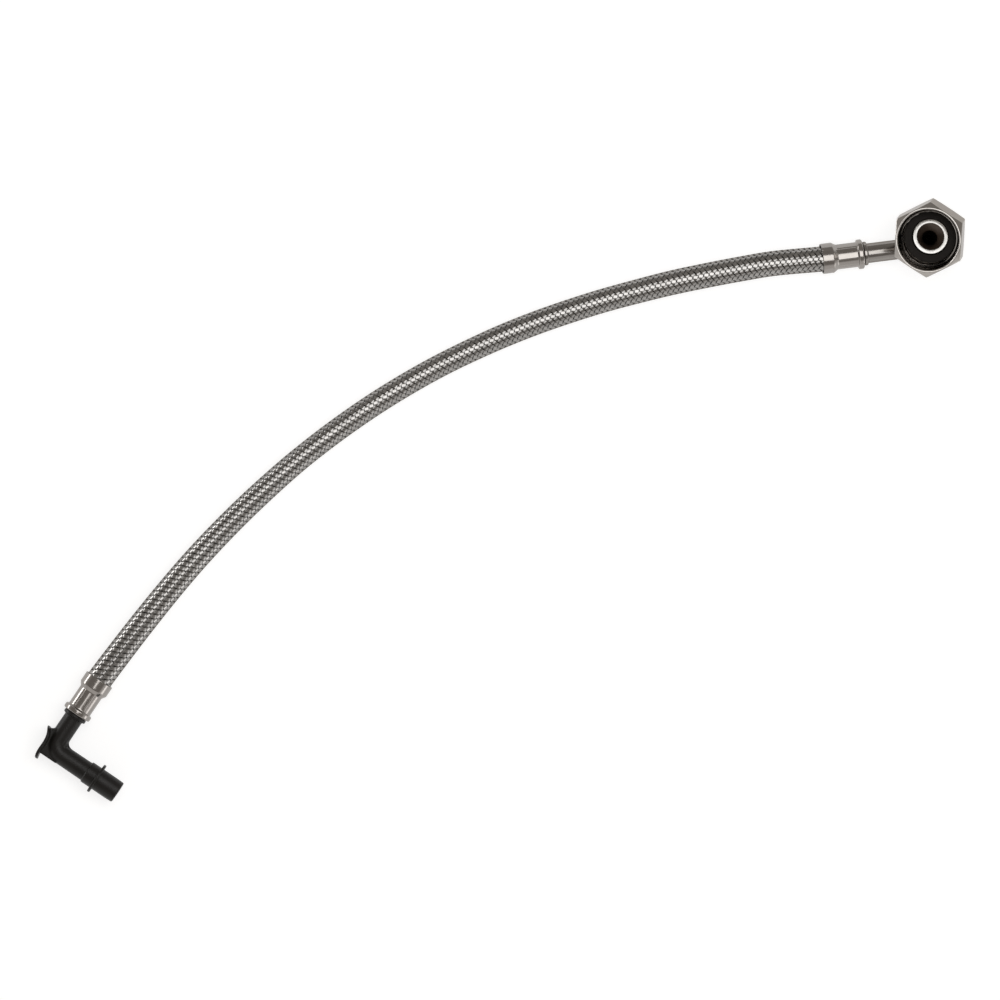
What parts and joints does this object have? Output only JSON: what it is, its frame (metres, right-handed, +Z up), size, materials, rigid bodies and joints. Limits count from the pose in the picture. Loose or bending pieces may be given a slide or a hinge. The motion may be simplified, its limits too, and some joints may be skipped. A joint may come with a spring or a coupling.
{
  "type": "braided flexible hose",
  "caption": "Short stainless-braided hose with a loose hexagonal swivel nut on a bent metal tail at one end and a black plug-in elbow at the other.",
  "frame": {"origin": "centre of the bounding box in plan, on the bench plane that the hose lies on", "axes": "+X along the hose's overall length towards the swivel nut, +Z up from the bench, which is also the way the nut's mouth opens"},
  "size_m": [0.423, 0.2746, 0.0361],
  "materials": {
    "plated_brass": "bright nickel plating with fine turning marks",
    "polished_metal": "polished tube, slightly drawn",
    "crimped_steel": "bright rolled sheet with jaw marks",
    "steel_wire": "drawn stainless wire",
    "black_rubber": "matt",
    "black_plastic": "satin glass-filled moulding"
  },
  "bodies": {
    "hose": {"elbow_tail": "polished_metal", "flat_seal": "black_rubber", "nut_end_ferrule": "crimped_steel", "plug_end_ferrule": "crimped_steel", "inner_hose": "black_rubber", "wire_braid": "steel_wire", "plug_elbow": "black_plastic"},
    "nut": {"union_nut": "plated_brass"}
  },
  "joints": [
    {"name": "nut_swivel", "type": "hinge", "parent": "hose", "child": "nut", "pos_m": [0.19663, 0.12065, 0.01451], "axis": [-0.1386, -0.155, 0.9781], "continuous": true}
  ]
}
